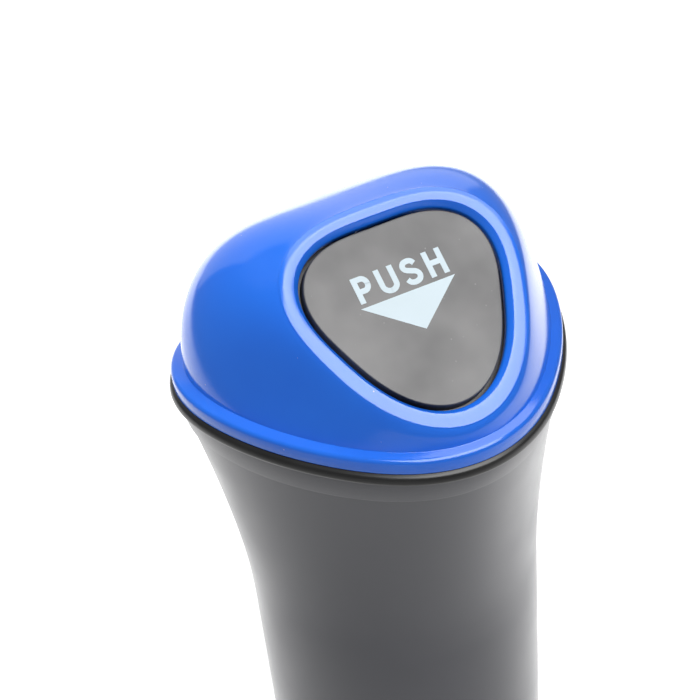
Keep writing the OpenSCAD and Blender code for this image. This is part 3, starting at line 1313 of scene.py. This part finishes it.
def quarter(start: Point, corner: Point, end: Point) -> list[Point]:
    """Return points of a quarter turn from start to end round a corner."""
    a, b, c = (np.array(point) for point in (start, corner, end))
    return [tuple(a + (b - a) * math.sin(turn) + (c - b) * (1 - math.cos(turn))) for turn in QUARTER]


@dataclass
class Spring(Part):
    """The torsion spring round the pin."""

    face: FaceForm
    hinge: Hinge
    wire: float = 0.7
    turns: float = 5.25
    coil_r: float = 1.65
    length: float = 4.5
    leg: float = 9.0
    end_gap: float = 0.1
    sides: int = 16
    turn_steps: int = 40
    sharp: float = 50.0

    def flap_leg(self) -> Array:
        """Return the middle line of the leg under the flap, in the face's own axes."""
        (y, h), far = self.hinge.centre, (self.leg, self.leg / 2, 0.0)
        return np.array([(-self.length / 2, y - reach, h - self.coil_r) for reach in far])

    def coil(self) -> Array:
        """Work out the coil and its short leg against the hood.

        Returns:
            The wire's middle line in the face's own axes.
        """
        y, h = self.hinge.centre
        turn = np.linspace(0.0, self.turns, int(self.turns * self.turn_steps))
        angle = 2 * math.pi * turn - math.pi / 2
        across = self.length * (turn / self.turns - 0.5)
        coil = np.column_stack([across, y + self.coil_r * np.cos(angle), h + self.coil_r * np.sin(angle)])
        rest = -self.face.lip_depth - self.wire / 2 - self.end_gap
        return np.concatenate([coil, [(self.length / 2, y + self.coil_r, rest)]])

    def bend(self, name: str, line: Array) -> Piece:
        """Sweep the wire along a line.

        Args:
            name: Name of the piece.
            line: Middle line in the face's own axes.

        Returns:
            The bent wire.
        """
        along = np.gradient(line, axis=0)
        across = np.cross(along, np.array([1.0, 0.0, 0.0]))
        other = np.cross(along, across)
        turn = np.linspace(0.0, 2 * math.pi, self.sides, endpoint=False)
        rings = []
        for middle, one, two in zip(line, across / lengths(across), other / lengths(other)):
            circle = np.outer(np.cos(turn), one) + np.outer(np.sin(turn), two)
            rings.append(self.face.place(middle + self.wire / 2 * circle))
        return outward(skin(name, rings, False, self.sharp))

    def build(self) -> None:
        """Build the coil on the hood, and the leg that turns with the flap."""
        self.settle(self.bend("coil_spring", self.coil()), "spring_steel", Body.HOOD, "return_spring")
        self.settle(self.bend("spring_leg", self.flap_leg()), "spring_steel", Body.FLAP)


# Studio


@dataclass(frozen=True)
class Softbox:
    """A soft rectangular lamp.

    Args:
        name: Name of the lamp.
        place: Its place in metres.
        size: Its width and height in metres.
        watts: Its power.
        role: What it is for.
    """

    name: str
    place: Place
    size: Point
    watts: float
    role: Role

    def build(self, target: Array) -> None:
        """Build the lamp.

        Args:
            target: Place in metres that it looks at.
        """
        data = bpy.data.lights.new(self.name, "AREA")
        data.shape = "RECTANGLE"
        data.size, data.size_y = self.size
        data.energy = self.watts
        lamp = bpy.data.objects.new(self.name, data)
        lamp.visible_glossy = self.role is Role.GLOSS
        lamp.visible_diffuse = self.role is Role.LIGHT
        aim = target - np.array(self.place)
        aim /= lengths(aim)
        side = np.cross(aim, UP)
        side /= lengths(side)
        lamp.matrix_world = pose(side, np.cross(side, aim), -aim, self.place)
        bpy.context.scene.collection.objects.link(lamp)


LAMPS = (
    Softbox("top_softbox", (0.14, -0.5, 0.88), (0.5, 0.5), 5.0, Role.LIGHT),
    Softbox("back_softbox", (-0.5, 0.7, 1.2), (0.9, 0.9), 10.4, Role.LIGHT),
    Softbox("ceiling_gloss", (0.37, 0.13, 1.0), (0.8, 0.8), 8.0, Role.GLOSS),
    Softbox("front_gloss", (0.05, -0.6, 0.94), (1.25, 0.8), 25.0, Role.GLOSS),
)


@dataclass(frozen=True)
class Sheet:
    """A plain surface of the studio that shows as white.

    Args:
        name: Name of the surface.
        corners: Its four corners in metres.
        seen: Glow that the camera sees.
        gloss: Glow that shows in glossy surfaces: at the front left, round the bin, far behind.
        paint: How much light it sends back.
        dull: Its roughness.
        near: Places in metres between which the front left turns to the bin's surroundings.
        away: Places in metres between which these turn to far behind.
    """

    name: str
    corners: list[Place]
    seen: float
    gloss: Place
    paint: float = 0.5
    dull: float = 0.9
    near: Point = (-0.25, 0.05)
    away: Point = (0.35, 0.8)

    def build(self) -> None:
        """Build the surface and keep it on the stage."""
        surface = mesh_object(self.name, np.array(self.corners), [(0, 1, 2, 3)], FLAT_SHARP)
        material = bpy.data.materials.new(self.name)
        material.use_nodes = True
        graph = Graph(material.node_tree)
        paint = graph.tree.nodes["Principled BSDF"]
        graph.fill(paint, Base_Color=(*(self.paint,) * 3, 1.0), Roughness=self.dull, Specular_IOR_Level=0.0,
                   Emission_Color=WHITE)
        path = graph.node("ShaderNodeLightPath").outputs
        glow = graph.node("ShaderNodeMath", operation="MULTIPLY")
        graph.link(path["Is Glossy Ray"], glow.inputs[0])
        graph.link(self.glow(graph), glow.inputs[1])
        strength = graph.mix(path["Is Camera Ray"], glow.outputs[0], self.seen)
        graph.link(strength, paint.inputs["Emission Strength"])
        surface.data.materials.append(material)

    def glow(self, graph: Graph) -> Socket:
        """Spread the gloss over the surface.

        Args:
            graph: Node tree of the surface's material.

        Returns:
            The socket that gives the glow.
        """
        front, round_bin, behind = self.gloss
        place = graph.node("ShaderNodeTexCoord").outputs["Object"]
        total = graph.node("ShaderNodeMath", operation="ADD")
        for index, (way, (near, far), low, high) in enumerate((
                ((1.0, 1.0, 0.0), self.near, front, round_bin),
                ((0.0, 1.0, 0.0), self.away, 0.0, behind - round_bin))):
            along = graph.node("ShaderNodeVectorMath", operation="DOT_PRODUCT")
            graph.link(place, along.inputs[0])
            along.inputs[1].default_value = way
            ramp = graph.node("ShaderNodeMapRange")
            graph.link(along.outputs["Value"], ramp.inputs["Value"])
            graph.fill(ramp, From_Min=near, From_Max=far, To_Min=low, To_Max=high)
            graph.link(ramp.outputs["Result"], total.inputs[index])
        return total.outputs[0]


@dataclass
class Studio:
    """The plain floor, the soft lights and the camera."""

    rim_z: float
    azimuth: float = -24.79
    elevation: float = 36.21
    roll: float = 5.78
    distance: float = 667.0
    shift_right: float = -5.88
    shift_up: float = -0.2
    focal_px: float = 2800.0
    near_clip: float = 0.01
    near: float = -0.36
    far: float = 1.6
    right: float = 0.46
    wall: Point = (-0.75, 1.7)
    wall_h: float = 1.3
    floor_seen: float = 0.75
    floor_gloss: Place = (0.35, 1.55, 2.2)
    wall_seen: float = 0.8
    wall_gloss: float = 0.85
    air: float = 0.352
    room: float = 0.32
    white: float = 1.0

    def camera(self) -> None:
        """Place the camera where the picture was taken from."""
        a, e, rho = (math.radians(v) for v in (self.azimuth, self.elevation, self.roll))
        back = np.array([math.sin(a) * math.cos(e), -math.cos(a) * math.cos(e), math.sin(e)])
        right = np.array([math.cos(a), math.sin(a), 0.0])
        up = np.cross(back, right)
        spot = self.rim_z * UP + self.shift_right * right + self.shift_up * up + self.distance * back
        data = bpy.data.cameras.new("camera")
        data.sensor_width = SENSOR
        data.lens = self.focal_px * SENSOR / PICTURE
        data.clip_start = self.near_clip
        eye = bpy.data.objects.new("camera", data)
        turned_right = math.cos(rho) * right - math.sin(rho) * up
        turned_up = math.sin(rho) * right + math.cos(rho) * up
        eye.matrix_world = pose(turned_right, turned_up, back, spot * MM)
        bpy.context.scene.collection.objects.link(eye)
        bpy.context.scene.camera = eye

    def world(self) -> None:
        """Light the scene evenly, with plain white for the camera and a dim room for gloss."""
        world = bpy.data.worlds.new("studio_air")
        bpy.context.scene.world = world
        world.use_nodes = True
        graph = Graph(world.node_tree)
        graph.tree.nodes.clear()
        air = graph.node("ShaderNodeBackground")
        graph.fill(air, Color=WHITE)
        path = graph.node("ShaderNodeLightPath").outputs
        unseen = graph.mix(path["Is Glossy Ray"], self.air, self.room)
        graph.link(graph.mix(path["Is Camera Ray"], unseen, self.white), air.inputs["Strength"])
        graph.link(air.outputs["Background"], graph.node("ShaderNodeOutputWorld").inputs["Surface"])

    def build(self) -> None:
        """Set up the whole studio."""
        bpy.context.scene.view_settings.view_transform = "Standard"
        self.world()
        near, far, right, height = self.near, self.far, self.right, self.wall_h
        left, end = self.wall
        floor = [(near, near, 0.0), (right, near, 0.0), (right, far, 0.0), (near, far, 0.0)]
        wall = [(left, far, 0.0), (end, far, 0.0), (end, far, height), (left, far, height)]
        Sheet("floor", floor, self.floor_seen, self.floor_gloss).build()
        Sheet("back_wall", wall, self.wall_seen, (self.wall_gloss,) * 3).build()
        for lamp in LAMPS:
            lamp.build(self.rim_z * MM * UP)
        self.camera()


@dataclass
class CarBin:
    """The whole bin, built from the top of the ring's seat."""

    effects: Effects = field(default_factory=Effects)

    def build(self) -> None:
        """Build every piece in order, then the studio."""
        rim_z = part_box("rim_ring")[1][2] / MM
        form, face = TubForm(rim_z), FaceForm(rim_z)
        hinge = Hinge(face)
        Tub(TUB_GREY.build(self.effects), form).build()
        LinerRing(RING_BLACK.build(self.effects), form).build()
        Hood(HOOD_BLUE.build(self.effects), form, face, DomeForm(form, face), hinge).build()
        Flap(FLAP_GREY.build(self.effects), face, hinge).build()
        Print(PRINT_PALE.build(self.effects), face).build()
        Spring(SPRING_STEEL.build(self.effects), face, hinge).build()
        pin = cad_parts["hinge_pin"]
        pin.data.materials.clear()
        pin.data.materials.append(PIN_STEEL.build(self.effects))
        LOG.info("hinge_pin keeps its own solid")
        Studio(rim_z).build()


def main() -> None:
    """Build the bin and its studio."""
    logging.basicConfig(level=logging.INFO, format="%(name)s: %(message)s")
    CarBin().build()


if __name__ == "__main__":
    main()
